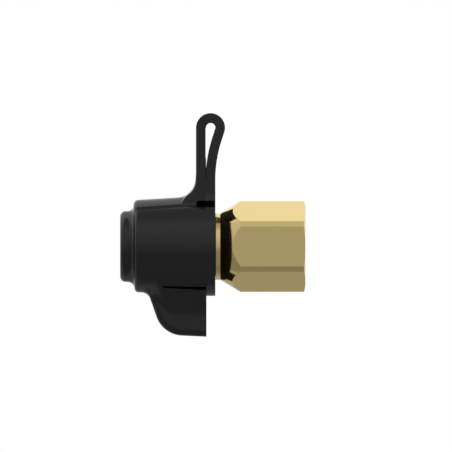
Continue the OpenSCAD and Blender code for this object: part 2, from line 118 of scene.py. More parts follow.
# Sizes of the rubber moulding
cap_low, cap_high = span("dust_cap")
collar_low, collar_high = span("neck_collar")
leg_low, leg_high = span("strap_cap_leg")
X_BUTTON = cap_low[0]
X_RIM = cap_high[0]
X_JOIN = collar_low[0]
RIM_R = cap_high[1]
TAB_DROP = -cap_low[2]
LEG_MEET_Z = cap_high[2]
CAP_DRAFT = math.radians(3.4)
CAP_WALL = 2.5
BUTTON_R = 10.45
BUTTON_H = 4.25
BUTTON_ROUND = 1.6
BUTTON_FILLET = 2.1
SHOULDER_ROUND = 1.05
BELL_ROUND = 1.4
SOCKET_R = 8.3
SOCKET_END = X_TIP - 0.5
BEAD_R = 0.5
BEAD_H = 0.25
BEAD_FILLET = 0.15
SOCKET_ROUND = 0.5
HOLLOW_EDGE = 0.3
X_COLLAR = collar_high[0]
COLLAR_R = RIM_R - 0.1
COLLAR_BORE_R = 8.65
COLLAR_FILLET = 3.2
COLLAR_EDGE = 0.2
BORE_EDGE = 0.25
STRAP_T = X_COLLAR - collar_low[0]
STRAP_HALF = leg_high[1]
X_LEG = leg_low[0]
LOOP_R = 1.45
LOOP_X = X_LEG + STRAP_T + LOOP_R
STRAP_GROW = 0.1
JOIN_LAP = 0.3
SLOT_PLAY = 0.05
LEG_RUN_ON = 0.4
LOOP_Z = leg_high[2] - LOOP_R - STRAP_T
LEG_LEAN = math.radians(18)
STRAP_FILLET = 5.9
STRAP_EDGE = 0.25
ROOT_REACH = 6.3
FOOT_SLOPE = math.radians(62)
FOOT_ROUND = 0.9
ROOT_EDGE = 0.5
ROOT_LOW_Z = 8
NOTCH_HALF = 0.875
NOTCH_DEPTH = 2.6
NOTCH_SLANT = 1.0
NOTCH_REACH = 1.9
NOTCH_FLOOR_ROUND = 0.2
NOTCH_EDGE = 0.15
TAB_HALF = 5.1
TAB_CORNER_R = 8.3
TAB_CORNER_X = 6.7
TAB_LEAN = math.radians(19.3)
TAB_SLOPE = math.radians(2.7)
TAB_ROUND = 2.0
TAB_FILLET = 7.0
TAB_BACK_FILLET = 1.6
FLARE_FADE = 4.5
SLIT_LEN = 12.6
SLIT_HALF = 0.45
SLIT_TIP_HALF = 0.2
SLIT_DEPTH = 2.2
SLIT_SLANT = 1.4
SLIT_DIP = 0.15
SLIT_EDGE = 0.12
SLIT_SLOPE = math.radians(1.9)

# Where the rubber is divided: above this height lies the loop, in two halves
CUT_Z = 27.0
LOOP_LAP = 0.15
# Pitch of the grid that the rubber's surface is taken from
GRID = 0.28


# Camera and light


def make_camera():
    """Level camera without perspective, looking along +Y."""
    data = bpy.data.cameras.new("camera")
    data.type = "ORTHO"
    data.ortho_scale = VIEW_WIDTH * MM
    data.clip_end = 5
    camera = bpy.data.objects.new("camera", data)
    camera.location = (VIEW_X * MM, -VIEW_AWAY * MM, VIEW_Z * MM)
    camera.rotation_euler = (math.pi / 2, 0, 0)
    bpy.context.scene.collection.objects.link(camera)
    bpy.context.scene.camera = camera


class Nodes:
    """Short way to add and join shader nodes."""

    def __init__(self, tree):
        self.tree = tree
        tree.nodes.clear()

    def add(self, kind, inputs=None, **settings):
        node = self.tree.nodes.new(kind)
        for name, value in settings.items():
            setattr(node, name, value)
        for name, value in (inputs or {}).items():
            if isinstance(value, bpy.types.NodeSocket):
                self.tree.links.new(value, node.inputs[name])
            else:
                node.inputs[name].default_value = value
        return node

    def math(self, operation, *values):
        inputs = dict(enumerate(values))
        return self.add("ShaderNodeMath", inputs, operation=operation).outputs[0]

    def ramp(self, value, stops):
        """Greys along a value from 0 to 1, as (place, grey) pairs."""
        node = self.add("ShaderNodeValToRGB", {0: value})
        points = node.color_ramp.elements
        while len(points) < len(stops):
            points.new(0.5)
        for point, (place, grey) in zip(points, stops):
            point.position = place
            point.color = (grey, grey, grey, 1)
        return node.outputs["Color"]

    def smooth(self, value, low, high):
        node = self.add(
            "ShaderNodeMapRange",
            {"Value": value, "From Min": low, "From Max": high},
            interpolation_type="SMOOTHSTEP",
        )
        return node.outputs["Result"]


def mixed_colour(n, share, low, high):
    """Mix of two colours, each a value or another node's result."""
    return n.add("ShaderNodeMix", {0: share, 6: low, 7: high}, data_type="RGBA").outputs[2]


def make_world():
    """Studio with a white wall behind the part, a dim ceiling and a front that dims downwards."""
    world = bpy.data.worlds.new("studio")
    bpy.context.scene.world = world
    world.use_nodes = True
    n = Nodes(world.node_tree)
    place = n.add("ShaderNodeTexCoord").outputs["Generated"]
    axes = n.add("ShaderNodeSeparateXYZ", {0: place}).outputs
    height = n.math("MULTIPLY_ADD", axes["Z"], 0.5, 0.5)
    # Heights run from 0, straight down, over 0.5, level, to 1, straight up
    front = n.ramp(
        height,
        [
            (0.0, 0.20), (0.07, 0.25), (0.3, 0.24), (0.4, 0.30), (0.5, 0.42),
            (0.64, 0.50), (0.78, 0.60), (0.92, 0.62), (0.97, 0.42), (1.0, 0.33),
        ],
    )
    back = n.ramp(
        height,
        [
            (0.0, 0.22), (0.07, 0.37), (0.3, 0.45), (0.42, 0.50), (0.5, 0.75),
            (0.57, 0.95), (0.974, 0.95), (0.984, 0.36), (1.0, 0.33),
        ],
    )
    behind = n.smooth(axes["Y"], 0.0, 0.12)
    around = mixed_colour(n, behind, front, back)
    seen = n.add("ShaderNodeLightPath").outputs["Is Camera Ray"]
    colour = mixed_colour(n, seen, around, (1, 1, 1, 1))
    light = n.add("ShaderNodeBackground", {"Color": colour, "Strength": 1.0})
    n.add("ShaderNodeOutputWorld", {"Surface": light.outputs[0]})


def make_floor():
    """Pale floor just under the tab. It takes the part's shadow and sends no light up to it."""
    half = 1500 * MM
    drop = -(TAB_DROP + FLOOR_GAP) * MM
    mesh = bpy.data.meshes.new("floor")
    corners = [(-half, -half, drop), (half, -half, drop), (half, half, drop), (-half, half, drop)]
    mesh.from_pydata(corners, [], [(0, 1, 2, 3)])
    floor = bpy.data.objects.new("floor", mesh)
    bpy.context.scene.collection.objects.link(floor)
    floor.visible_glossy = False
    floor.visible_diffuse = False
    floor.visible_shadow = False
    material = bpy.data.materials.new("pale_floor")
    material.use_nodes = True
    n = Nodes(material.node_tree)
    matt = n.add("ShaderNodeBsdfDiffuse", {"Color": (0.8, 0.8, 0.8, 1)})
    glow = n.add("ShaderNodeEmission", {"Color": (1, 1, 1, 1), "Strength": 0.62})
    both = n.add("ShaderNodeAddShader", {0: matt.outputs[0], 1: glow.outputs[0]})
    n.add("ShaderNodeOutputMaterial", {"Surface": both.outputs[0]})
    mesh.materials.append(material)


# Materials


def new_material(name):
    material = bpy.data.materials.new(name)
    material.use_nodes = True
    n = Nodes(material.node_tree)
    place = n.add("ShaderNodeTexCoord").outputs["Object"]
    return material, n, place


def finish_material(n, colour, roughness, bump, settings):
    shader = n.add(
        "ShaderNodeBsdfPrincipled",
        {"Base Color": colour, "Roughness": roughness, "Normal": bump, **settings},
    )
    n.add("ShaderNodeOutputMaterial", {"Surface": shader.outputs[0]})


def mixed(n, share, low, high):
    """Colour between two plain ones, by a share."""
    return mixed_colour(n, share, (*low, 1), (*high, 1))


def noise(n, place, scale, detail=3.0, stretch=(1, 1, 1)):
    """Noise from 0 to 1. The scale is in waves a metre."""
    moved = n.add("ShaderNodeMapping", {"Vector": place, "Scale": stretch}).outputs[0]
    node = n.add("ShaderNodeTexNoise", {"Vector": moved, "Scale": scale, "Detail": detail})
    return node.outputs["Fac"]


def make_brass(name, colour, roughness, stretch):
    """Polished brass with fine tool marks along or round the part."""
    material, n, place = new_material(name)
    marks = noise(n, place, 900.0, 4.0, stretch)
    cloud = noise(n, place, 120.0, 2.0)
    warm = tuple(c * f for c, f in zip(colour, (1.0, 0.985, 0.95)))
    rough = n.add(
        "ShaderNodeMapRange", {"Value": marks, "To Min": roughness * 0.7, "To Max": roughness * 1.4}
    ).outputs["Result"]
    bump = n.add("ShaderNodeBump", {"Height": marks, "Strength": 0.03, "Distance": 0.02 * MM})
    finish_material(n, mixed(n, cloud, colour, warm), rough, bump.outputs[0], {"Metallic": 1.0})
    return material


def make_steel(name, roughness):
    """Drawn or stamped steel."""
    material, n, place = new_material(name)
    marks = noise(n, place, 2500.0, 4.0)
    colour = mixed(n, marks, (0.50, 0.51, 0.52), (0.60, 0.60, 0.61))
    rough = n.add(
        "ShaderNodeMapRange", {"Value": marks, "To Min": roughness * 0.7, "To Max": roughness * 1.3}
    ).outputs["Result"]
    bump = n.add("ShaderNodeBump", {"Height": marks, "Strength": 0.1, "Distance": 0.01 * MM})
    finish_material(n, colour, rough, bump.outputs[0], {"Metallic": 1.0})
    return material


def make_rubber(name, dark, light, roughness):
    """Moulded black rubber: satin, with a faint grain; painted shade cuts its gloss at the rims and
    on the faces towards the inlet.
    """
    material, n, place = new_material(name)
    grain = noise(n, place, 6500.0, 3.0)
    cloud = noise(n, place, 140.0, 3.0)
    low, high = roughness * 0.85, roughness * 1.15
    rough = n.add(
        "ShaderNodeMapRange", {"Value": cloud, "To Min": low, "To Max": high}
    ).outputs["Result"]
    bump = n.add("ShaderNodeBump", {"Height": grain, "Strength": 0.12, "Distance": 0.02 * MM})
    # Painted shade: the gloss is cut where the surface turns away from the view, so the rims show
    # darker
    facing = n.add("ShaderNodeLayerWeight", {"Blend": 0.5}).outputs["Facing"]
    painted_shade_gloss = n.math("MULTIPLY_ADD", n.smooth(facing, 0.35, 0.75), -0.4, 0.5)
    # Painted shade: the faces towards the inlet lose nearly all their gloss, so they show dark
    side = n.add("ShaderNodeTexCoord").outputs["Normal"]
    shaded_inlet_side = n.smooth(n.add("ShaderNodeSeparateXYZ", {0: side}).outputs["X"], 0.7, 0.9)
    painted_shade_gloss = n.math("MULTIPLY", painted_shade_gloss, n.math("MULTIPLY_ADD", shaded_inlet_side, -0.95, 1.0))
    finish_material(
        n, mixed(n, cloud, dark, light), rough, bump.outputs[0], {"Specular IOR Level": painted_shade_gloss}
    )
    return material


# Meshes from rings


class Patches:
    """Grids of points with their own normals, joined into one mesh where their edges meet."""

    def __init__(self):
        self.points = []
        self.normals = []
        self.faces = []
        self.materials = []
        self.count = 0

    def grid(self, points, normals, step=0, material=0, flip=False):
        """Adds rows of points, each closed on itself. Its end meets the row step further on."""
        rows, columns = points.shape[:2]
        row, column = np.meshgrid(np.arange(rows - 1), np.arange(columns), indexing="ij")
        wraps = column == columns - 1
        here = row * columns + column
        above = here + columns
        ahead_row = np.where(wraps, np.minimum(row + step, rows - 1), row)
        ahead_up = np.where(wraps, np.minimum(row + 1 + step, rows - 1), row + 1)
        ahead_column = (column + 1) % columns
        quads = np.stack(
            [here, above, ahead_up * columns + ahead_column, ahead_row * columns + ahead_column], -1
        ).reshape(-1, 4)
        if flip:
            quads = quads[:, ::-1]
        self.points.append(points.reshape(-1, 3))
        self.normals.append(normals.reshape(-1, 3))
        self.faces.append(quads + self.count)
        self.materials.append(np.full(len(quads), material))
        self.count += rows * columns

    def mesh(self, name):
        """One mesh: points that coincide are joined, and faces that have no area are left out."""
        points = np.concatenate(self.points)
        normals = np.concatenate(self.normals)
        faces = np.concatenate(self.faces)
        materials = np.concatenate(self.materials)
        keys = np.round(points / 1e-4).astype(np.int64)
        _, first, shared = np.unique(keys, axis=0, return_index=True, return_inverse=True)
        shared = shared.reshape(-1)
        kept_faces, kept_normals, kept_materials = [], [], []
        for face, material in zip(faces, materials):
            corners, sides = [], []
            for corner in face:
                if shared[corner] not in corners:
                    corners.append(int(shared[corner]))
                    sides.append(corner)
            if len(corners) > 2:
                kept_faces.append(corners)
                kept_normals.extend(sides)
                kept_materials.append(material)
        return build_mesh(
            name, points[first], kept_faces, normals[kept_normals], kept_materials
        )


def build_mesh(name, points, faces, corner_normals, materials=None):
    """Mesh in metres from millimetre points, smooth, with a normal given for each face corner."""
    mesh = bpy.data.meshes.new(name)
    mesh.from_pydata((points * MM).tolist(), [], faces)
    mesh.polygons.foreach_set("use_smooth", [True] * len(faces))
    if materials is not None:
        mesh.polygons.foreach_set("material_index", [int(m) for m in materials])
    mesh.normals_split_custom_set(corner_normals.tolist())
    mesh.update()
    return mesh


def add_piece(name, mesh, materials):
    piece = bpy.data.objects.new(name, mesh)
    for material in materials:
        mesh.materials.append(material)
    bpy.context.scene.collection.objects.link(piece)
    return piece


# Brass body


def hex_radius(angle):
    """Distance from the axis to the bar's surface at an angle."""
    sixth = math.pi / 3
    flat = (angle + sixth / 2) % sixth - sixth / 2
    corner = angle % sixth - sixth / 2
    return np.minimum(HEX_HALF / np.cos(flat), CORNER_R / np.cos(corner))


def hex_angles():
    """Angles round the bar, and the direction that the bar's face has at each."""
    planed = math.atan(CORNER_FLAT / 2 / CORNER_R)
    wide = math.pi / 6 - planed
    break_angle = EDGE_BREAK / 2 / CORNER_R
    angles, facing = [], []
    for side in range(6):
        for middle, half, count in ((0, wide, 20), (math.pi / 6, planed, 3)):
            centre = side * math.pi / 3 + middle
            reach = half - break_angle
            angles.extend(centre + np.linspace(-reach, reach, count))
            facing.extend([centre] * count)
    return np.array(angles), np.array(facing)


ANGLES, FACING = hex_angles()
FACE_TURN = ANGLES[0]
ANGLES = ANGLES - FACE_TURN


def turned_rows(corners):
    """Rows of (x, radius, normal x, normal radius) along an outline whose corners are broken."""
    rows = []
    points = np.array(corners, float)
    steps = np.diff(points, axis=0)
    lengths = np.linalg.norm(steps, axis=1)
    ways = steps / lengths[:, None]
    sides = np.stack([ways[:, 1], -ways[:, 0]], 1)
    for i, point in enumerate(points):
        if i == 0 or i == len(points) - 1:
            side = sides[0] if i == 0 else sides[-1]
            rows.append((*point, *side))
            continue
        size = min(EDGE_BREAK, 0.35 * lengths[i - 1], 0.35 * lengths[i])
        before = point - size * ways[i - 1]
        after = point + size * ways[i]
        middle = (before + 2 * point + after) / 4
        between = sides[i - 1] + sides[i]
        rows.append((*before, *sides[i - 1]))
        rows.append((*middle, *(between / np.linalg.norm(between))))
        rows.append((*after, *sides[i]))
    return np.array(rows)


def revolve(rows, angles):
    """Points and normals of turned rows at the given angles."""
    cos, sin = np.cos(angles), np.sin(angles)
    one = np.ones_like(angles)
    x, r, nx, nr = (rows[:, k, None] for k in range(4))
    points = np.stack([x * one, r * cos, r * sin], -1)
    normals = np.stack([nx * one, nr * cos, nr * sin], -1)
    return points, normals


def hex_rows(angles, facing, x_neck):
    """Points and normals from the end chamfer over the bar's faces to the foot of the cone."""
    radius = hex_radius(angles)
    one = np.ones_like(angles)

    def ring(x, r, nx, nr, direction):
        points = np.stack([x * one, r * np.cos(angles), r * np.sin(angles)], -1)
        normals = np.stack([nx * one, nr * np.cos(direction), nr * np.sin(direction)], -1)
        return points, normals

    x_front = -(radius - CHAMFER_R) * math.tan(CHAMFER_ANGLE)
    x_back = x_neck + (radius - NECK_R) / math.tan(CONE_ANGLE)
    # Chamfer, from its round edge out to the bar's faces
    front_len = np.hypot(radius - CHAMFER_R, x_front)
    front_way = (-math.sin(CHAMFER_ANGLE), math.cos(CHAMFER_ANGLE))
    front_side = (front_way[1], -front_way[0])
    front_break = np.minimum(EDGE_BREAK, 0.3 * front_len)
    back_len = np.hypot(radius - NECK_R, x_back - x_neck)
    back_way = (-math.cos(CONE_ANGLE), -math.sin(CONE_ANGLE))
    back_side = (back_way[1], -back_way[0])
    rings = []
    for place in (front_break, front_len - front_break):
        rings.append(
            ring(front_way[0] * place, CHAMFER_R + front_way[1] * place, *front_side, angles)
        )
    rings.append(ring(x_front - front_break, radius, 0, 1, facing))
    rings.append(ring(x_back + EDGE_BREAK, radius, 0, 1, facing))
    for place in np.linspace(0, 1, 7):
        along = EDGE_BREAK + place * (back_len - 2 * EDGE_BREAK)
        rings.append(
            ring(x_back + back_way[0] * along, radius + back_way[1] * along, *back_side, angles)
        )
    points = np.stack([r[0] for r in rings])
    normals = np.stack([r[1] for r in rings])
    return points, normals


def thread_shape(phase):
    """Depth of a thread, from 0 at its crest to 1 at its root, over one turn's phase."""
    away = np.abs((phase + 0.5) % 1.0 - 0.5)
    return np.clip((away - CREST_HALF) / FLANK, 0, 1)


def thread_grid(x_from, x_to, radius, outward):
    """Rows along a right-handed thread, each sheared to keep to one place on its profile."""
    phases = np.array([-0.05, 0.05, 0.085, 0.24, 0.40, 0.45, 0.55, 0.60, 0.76, 0.915])
    turns = int(math.ceil((x_to - x_from) / THREAD_PITCH)) + 2
    starts = (np.arange(-1, turns)[:, None] + phases[None, :]).reshape(-1)
    x = x_from + THREAD_PITCH * (starts[:, None] + ANGLES[None, :] / (2 * math.pi))
    x = np.clip(x, x_from, x_to)
    turn = np.broadcast_to(ANGLES, x.shape)
    tiny_x, tiny_turn = 0.02, 0.01
    r = radius(x, turn)
    slope_x = (radius(x + tiny_x, turn) - radius(x - tiny_x, turn)) / (2 * tiny_x)
    slope_turn = (radius(x, turn + tiny_turn) - radius(x, turn - tiny_turn)) / (2 * tiny_turn * r)
    cos, sin = np.cos(turn + FACE_TURN), np.sin(turn + FACE_TURN)
    points = np.stack([x, r * cos, r * sin], -1)
    normals = np.stack(
        [-slope_x, cos + slope_turn * sin, sin - slope_turn * cos], -1
    )
    normals /= np.linalg.norm(normals, axis=-1, keepdims=True)
    return points, normals * (1 if outward else -1), len(phases)


def thread_phase(x, turn, x_from):
    return (x - x_from) / THREAD_PITCH - turn / (2 * math.pi)


def make_body(flats, turned_finish):
    """Coupling body: hexagon, neck, flange, threaded nose and the bores with their thread."""
    x_neck = -HEX_LEN - (CORNER_R - NECK_R) / math.tan(CONE_ANGLE)
    x_groove = X_COLLAR + GROOVE_PLAY
    x_flange = collar_low[0] - GROOVE_PLAY
    x_shank = x_flange - FLANGE_W
    x_thread = X_TIP + NOSE_THREAD_LEN
    x_recess = X_TIP + RECESS_DEPTH
    x_seat = x_recess + SEAT_WALL
    ring_low, ring_high = span("snap_ring")
    x_ring, x_ring_end = ring_low[0], ring_high[0] + GROOVE_PLAY
    groove_r = CHAMBER_R + RING_GROOVE_DEPTH
    root_r = NOSE_R - UNDERCUT_DEPTH
    mouth_r = INLET_R + MOUTH_CHAMFER
    relief_r = INLET_R + THREAD_DEPTH
    x_relief = RELIEF_W - INLET_DEPTH
    angles = ANGLES + FACE_TURN

    def nose_radius(x, turn):
        deep = THREAD_DEPTH * thread_shape(thread_phase(x, turn, X_TIP))
        tip = root_r + (x - X_TIP) * (NOSE_R - root_r) / TIP_CHAMFER
        run_out = root_r + (x_thread - x)
        return np.minimum(NOSE_R - deep, np.minimum(tip, run_out))

    def inlet_radius(x, turn):
        deep = THREAD_DEPTH * (1 - thread_shape(thread_phase(x, turn, x_relief)))
        return np.maximum(relief_r - deep, mouth_r + x)

    patches = Patches()
    end_face = turned_rows([(0, mouth_r), (0, CHAMFER_R - EDGE_BREAK)])
    points, normals = revolve(end_face, angles)
    patches.grid(points, normals, material=1)
    hex_points, hex_normals = hex_rows(angles, FACING, x_neck)
    joint_points = np.stack([points[-1], hex_points[0]])
    joint_normals = np.stack([normals[-1], hex_normals[0]])
    patches.grid(joint_points, joint_normals, material=1)
    patches.grid(hex_points[:3], hex_normals[:3], material=1)
    patches.grid(hex_points[2:4], hex_normals[2:4], material=0)
    patches.grid(hex_points[3:], hex_normals[3:], material=1)
    outside = turned_rows(
        [
            (x_neck, NECK_R),
            (x_groove, NECK_R),
            (x_groove, GROOVE_R),
            (x_flange, GROOVE_R),
            (x_flange, NECK_R),
            (x_shank + FLANGE_CHAMFER, NECK_R),
            (x_shank, NECK_R - FLANGE_CHAMFER),
            (x_shank, NOSE_R),
            (x_thread + UNDERCUT_W + UNDERCUT_DEPTH, NOSE_R),
            (x_thread + UNDERCUT_W, root_r),
            (x_thread, root_r),
        ]
    )
    outside[0, 0] -= EDGE_BREAK
    points, normals = revolve(outside, angles)
    foot = np.stack([hex_points[-1], points[0]])
    foot_normals = np.stack([hex_normals[-1], normals[0]])
    patches.grid(foot, foot_normals, material=1)
    patches.grid(points, normals, material=1)
    nose, nose_normals, step = thread_grid(X_TIP, x_thread, nose_radius, True)
    patches.grid(nose, nose_normals, step=step, material=1, flip=True)
    inside = turned_rows(
        [
            (X_TIP, root_r),
            (X_TIP, RECESS_R),
            (x_recess, RECESS_R),
            (x_recess, PIN_HOLE_R),
            (x_seat, PIN_HOLE_R),
            (x_seat, CHAMBER_R),
            (x_ring, CHAMBER_R),
            (x_ring, groove_r),
            (x_ring_end, groove_r),
            (x_ring_end, CHAMBER_R),
            (-INLET_DEPTH, CHAMBER_R),
            (-INLET_DEPTH, relief_r),
            (x_relief, relief_r),
        ]
    )
    points, normals = revolve(inside, angles)
    patches.grid(points, normals, material=1)
    inlet, inlet_normals, step = thread_grid(x_relief, 0, inlet_radius, False)
    patches.grid(inlet, inlet_normals, step=step, material=1)
    # Step from the thread's roots out to the relief
    wall = np.stack([points[-1], inlet[0]])
    facing_back = np.zeros_like(wall)
    facing_back[..., 0] = -1
    patches.grid(wall, facing_back, material=1)
    body = add_piece("brass_body", patches.mesh("brass_body"), [flats, turned_finish])
    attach(body, "coupling")
    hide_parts("coupling_body")


# Spring


def make_spring(finish):
    """Coil spring with closed ends, between the poppet and the plate."""
    low, high = span("valve_spring")
    wire_r = 0.4
    coil_r = high[2] - wire_r
    closed = 2 * wire_r + 0.05
    turns = 9
    length = high[0] - low[0]
    start = low[0] + wire_r
    open_pitch = (length - 2 * wire_r - 2 * closed) / (turns - 2)
    steps, sides = 56, 14
    turn = np.linspace(0, turns, turns * steps + 1)
    x = start + closed * np.minimum(turn, 1)
    x = x + open_pitch * np.clip(turn - 1, 0, turns - 2) + closed * np.maximum(turn - turns + 1, 0)
    angle = 2 * math.pi * turn
    line = np.stack([x, coil_r * np.cos(angle), coil_r * np.sin(angle)], 1)
    way = np.gradient(line, axis=0)
    way /= np.linalg.norm(way, axis=1, keepdims=True)
    out = np.stack([np.zeros_like(x), np.cos(angle), np.sin(angle)], 1)
    side = np.cross(way, out)
    side /= np.linalg.norm(side, axis=1, keepdims=True)
    out = np.cross(side, way)
    around = np.arange(sides) * 2 * math.pi / sides
    normals = (
        out[:, None] * np.cos(around)[None, :, None] + side[:, None] * np.sin(around)[None, :, None]
    )
    patches = Patches()
    patches.grid(line[:, None] + wire_r * normals, normals, flip=True)
    for end, sign in ((0, -1), (-1, 1)):
        face = np.stack([line[end] + wire_r * normals[end], np.repeat(line[end][None], sides, 0)])
        patches.grid(face, np.broadcast_to(sign * way[end], face.shape), flip=sign > 0)
    spring = add_piece("coil_spring", patches.mesh("coil_spring"), [finish])
    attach(spring, "coupling")
    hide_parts("valve_spring")
    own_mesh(spring)


# Distance functions, below zero inside the rubber


def round_and(a, b, radius):
    """What both hold, with a round of that radius along the edge."""
    outside = np.hypot(np.maximum(a + radius, 0), np.maximum(b + radius, 0))
    return np.minimum(np.maximum(a, b), -radius) + outside


def round_or(a, b, radius):
    """What either holds, with a hollow round of that radius where they meet."""
    return -round_and(-a, -b, radius)


def from_line(x, z, start, end):
    """Distance from a straight line between two points."""
    way = np.subtract(end, start)
    share = np.clip(((x - start[0]) * way[0] + (z - start[1]) * way[1]) / (way @ way), 0, 1)
    return np.hypot(x - start[0] - share * way[0], z - start[1] - share * way[1])


def from_arc(x, z, centre, radius, low, high):
    """Distance from an arc, for points that lie between its two end angles."""
    dx, dz = x - centre[0], z - centre[1]
    middle = (low + high) / 2
    turn = np.arctan2(dz, dx) - middle
    turn = (turn + math.pi) % (2 * math.pi) - math.pi
    return np.where(np.abs(turn) <= (high - low) / 2, np.abs(np.hypot(dx, dz) - radius), 99.0)


def cap_leg(x, z):
    """Section of the strap's straight leg and the loop."""
    line = np.maximum(x - X_RIM + SLOT_PLAY - joined(z), X_LEG - STRAP_GROW - x)
    line = np.maximum(line, np.maximum(-z, z - LOOP_Z - LEG_RUN_ON))
    return np.minimum(line, loop(x, z))


def joined(z):
    """How far each leg runs on into the other below the place where the two part."""
    return np.clip(LEG_MEET_Z - z, 0, 1)


def loop(x, z):
    """Section of the loop, which is thickest on the cap's side."""
    dx, dz = x - LOOP_X, z - LOOP_Z
    turn = np.arctan2(dz, dx)
    turn = np.where(turn < -math.pi / 2, math.pi, turn)
    r = np.hypot(dx, dz)
    grow = STRAP_GROW * np.clip(turn / (math.pi / 2), 0, 1)
    inner = LOOP_R + X_RIM - X_JOIN
    section = np.maximum(r - LOOP_R - STRAP_T - grow, inner - r)
    return np.where((turn > -LEG_LEAN) & ((dz > 0) | (dx > 0)), section, 99.0)


def collar_leg(x, z):
    """Section of the strap's bowed leg and the loop."""
    half = (STRAP_T + STRAP_GROW) / 2
    outer = LOOP_R + STRAP_T
    top_x = LOOP_X + outer * math.cos(LEG_LEAN)
    top_z = LOOP_Z - outer * math.sin(LEG_LEAN)
    kink_z = top_z - (top_x - X_COLLAR) / math.tan(LEG_LEAN)
    bow_r = (kink_z - LEG_MEET_Z) / math.tan(LEG_LEAN / 2)
    centre = (X_COLLAR + bow_r, LEG_MEET_Z)
    mid_r = bow_r + half
    bow_end = (centre[0] - mid_r * math.cos(LEG_LEAN), centre[1] + mid_r * math.sin(LEG_LEAN))
    seam_r = outer - half
    seam = (LOOP_X + seam_r * math.cos(LEG_LEAN), LOOP_Z - seam_r * math.sin(LEG_LEAN))
    middle = X_COLLAR - half
    line = from_line(x, z, (middle, 0), (middle, LEG_MEET_Z))
    line = np.minimum(line, from_arc(x, z, centre, mid_r, math.pi - LEG_LEAN, math.pi))
    line = np.minimum(line, from_line(x, z, bow_end, seam))
    leg = np.maximum(line - half, X_JOIN - x)
    run_on = np.where(z < LEG_MEET_Z, np.maximum(X_JOIN - joined(z) - x, x - X_COLLAR), 99.0)
    return np.minimum(np.minimum(leg, run_on), loop(x, z))


def notch(x, y, z):
    """Relief notch on both sides of the strap's root, with a floor that slants upwards."""
    height = math.sqrt(COLLAR_R**2 - STRAP_HALF**2)
    start = X_LEG + STRAP_T - NOTCH_REACH
    section = np.hypot(np.minimum(x - start, 0), z - height) - NOTCH_HALF
    slant = NOTCH_SLANT * (z - height)
    floor = (STRAP_HALF - NOTCH_DEPTH + slant - np.abs(y)) / math.hypot(1, NOTCH_SLANT)
    return round_and(section, floor, NOTCH_FLOOR_ROUND)


def tab_side(x, z):
    """Side view of the thumb tab, open towards the cap."""
    cx = X_RIM - TAB_CORNER_X
    cz = TAB_CORNER_R - TAB_DROP + TAB_CORNER_X * math.tan(TAB_SLOPE)
    low = (-math.sin(TAB_SLOPE), -math.cos(TAB_SLOPE))
    back = (-math.cos(TAB_LEAN), -math.sin(TAB_LEAN))
    dx, dz = x - cx, z - cz
    along_low = dx * low[0] + dz * low[1]
    along_back = dx * back[0] + dz * back[1]
    # In the corner between the two edges' normals the outline is the arc
    cross = low[0] * back[1] - low[1] * back[0]
    share_low = (dx * back[1] - dz * back[0]) / cross
    share_back = (dz * low[0] - dx * low[1]) / cross
    corner = (share_low > 0) & (share_back > 0)
    edges = np.maximum(along_low, along_back)
    return np.where(corner, np.hypot(dx, dz), edges) - TAB_CORNER_R


def strap_root(x, y, z, bell):
    """Root of the strap on the cap: turned with the bell at its foot, straight across above."""
    slab = np.where(z > 0, cap_leg(x, z), 99.0)
    turned = round_or(bell, slab, STRAP_FILLET)
    x_round = X_LEG - STRAP_FILLET
    z_round = RIM_R - (X_RIM - x_round) * math.tan(CAP_DRAFT) + STRAP_FILLET
    hollow = STRAP_FILLET - np.hypot(x - x_round, z - z_round)
    hollow = np.where((x > x_round) & (z < z_round), hollow, cap_leg(x, z))
    x_foot = X_RIM - ROOT_REACH
    z_foot = RIM_R - ROOT_REACH * math.tan(CAP_DRAFT)
    foot = (x_foot - x) * math.sin(FOOT_SLOPE) + (z - z_foot) * math.cos(FOOT_SLOPE)
    straight = round_and(np.maximum(hollow, ROOT_LOW_Z - z), foot, ROOT_EDGE)
    width = np.abs(y) - STRAP_HALF
    turned = round_and(np.maximum(turned, -z), width, STRAP_EDGE)
    return round_or(turned, round_and(straight, width, STRAP_EDGE), ROOT_EDGE)


def cap_shape(x, y, z):
    """Dust cap with its button, tab and strap leg."""
    r = np.hypot(y, z)
    x_shoulder = X_BUTTON + BUTTON_H
    side_r = RIM_R - (X_RIM - x) * math.tan(CAP_DRAFT)
    side = (r - side_r) * math.cos(CAP_DRAFT)
    bell = round_and(side, x_shoulder - x, SHOULDER_ROUND)
    button = round_and(r - BUTTON_R, X_BUTTON - x, BUTTON_ROUND)
    shell = round_or(bell, button, BUTTON_FILLET)
    shell = round_or(shell, strap_root(x, y, z, bell), FOOT_ROUND)
    # Thumb tab
    thick = np.where(z < 0, np.abs(y) - TAB_HALF, 99.0)
    outline = tab_side(x, z)
    # The flares fade towards the tab's back
    share = np.clip(-outline / FLARE_FADE, 0, 1)
    flare = TAB_BACK_FILLET + (TAB_FILLET - TAB_BACK_FILLET) * share**2 * (3 - 2 * share)
    flared = round_and(round_or(bell, thick, flare), outline, TAB_ROUND)
    core = round_or(bell, round_and(thick, outline, TAB_ROUND), TAB_BACK_FILLET)
    shell = np.minimum(shell, np.minimum(flared, core))
    # Flat rim, then the hollow with its sealing beads
    shell = np.maximum(shell, x - X_JOIN - JOIN_LAP / 2)
    bell_end = x_shoulder + CAP_WALL
    hollow = round_and((r - side_r + CAP_WALL) * math.cos(CAP_DRAFT), bell_end - x, BELL_ROUND)
    socket = round_and(r - SOCKET_R, SOCKET_END - x, SOCKET_ROUND)
    hollow = np.minimum(hollow, socket)
    shell = round_and(shell, -hollow, HOLLOW_EDGE)
    for bead_x in (X_TIP + 2.0, bell_end - 2 * BEAD_R):
        bead = np.hypot(x - bead_x, r - (SOCKET_R - BEAD_H + BEAD_R)) - BEAD_R
        shell = round_or(shell, bead, BEAD_FILLET)
    shell = round_and(shell, -notch(x, y, z), NOTCH_EDGE)
    return round_and(shell, -slit(x, y, z), SLIT_EDGE)


